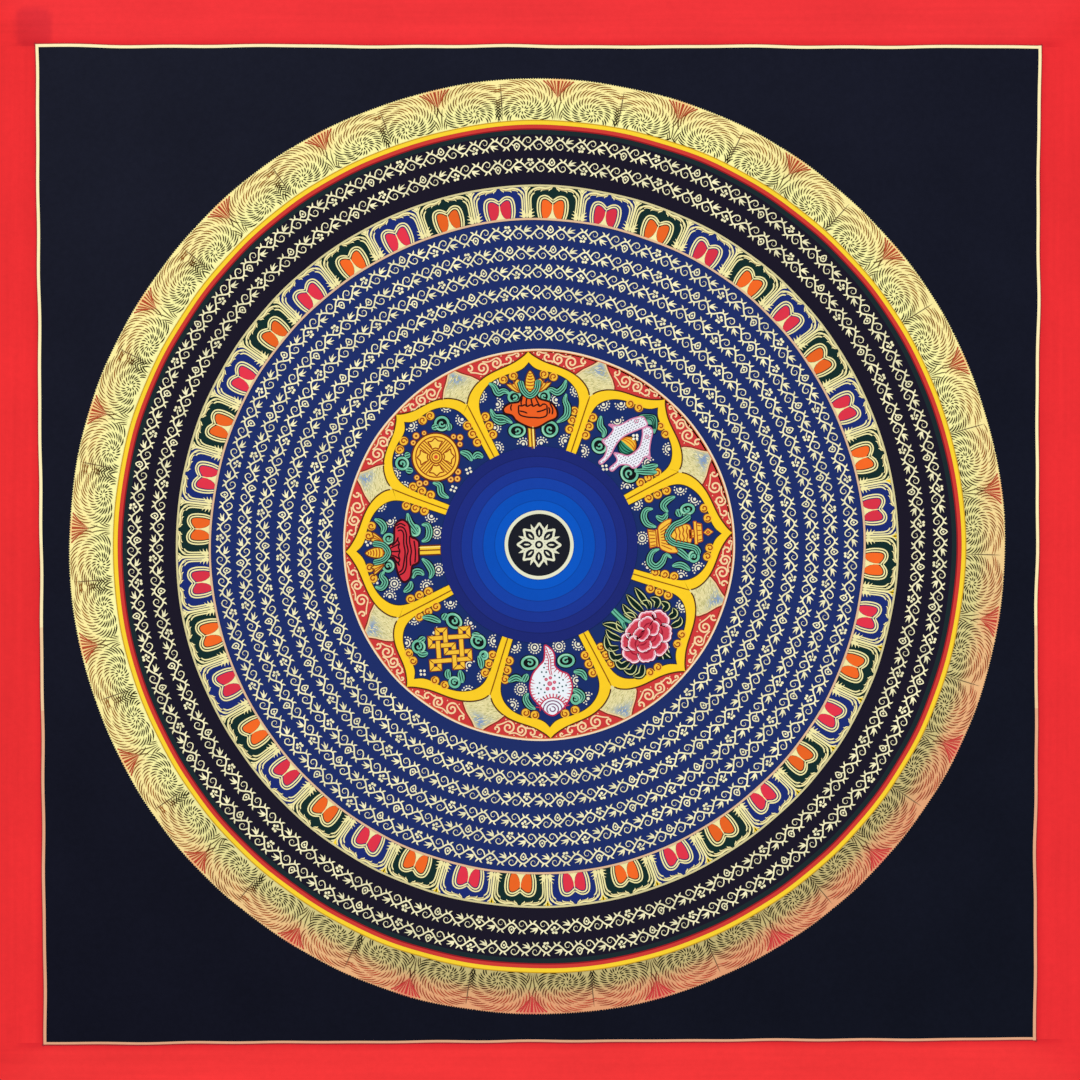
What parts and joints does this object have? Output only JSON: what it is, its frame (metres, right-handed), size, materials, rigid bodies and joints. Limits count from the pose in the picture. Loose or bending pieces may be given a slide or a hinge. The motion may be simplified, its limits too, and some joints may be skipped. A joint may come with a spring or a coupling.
{
  "type": "unmounted painted mandala canvas",
  "caption": "Square sheet of primed cotton painted with a ringed round mandala on a dark field inside a red margin, lying flat face up.",
  "frame": {"origin": "centre of the sheet's underside, on the surface that it lies on", "axes": "+Z out of the painted face, +Y towards the painting's top edge, +X towards its right edge"},
  "size_m": [0.51, 0.51, 0.0012],
  "materials": {
    "painted_cotton": "matt mineral paint on primed cotton"
  },
  "bodies": {
    "root": {"canvas_sheet": "painted_cotton"}
  },
  "joints": []
}
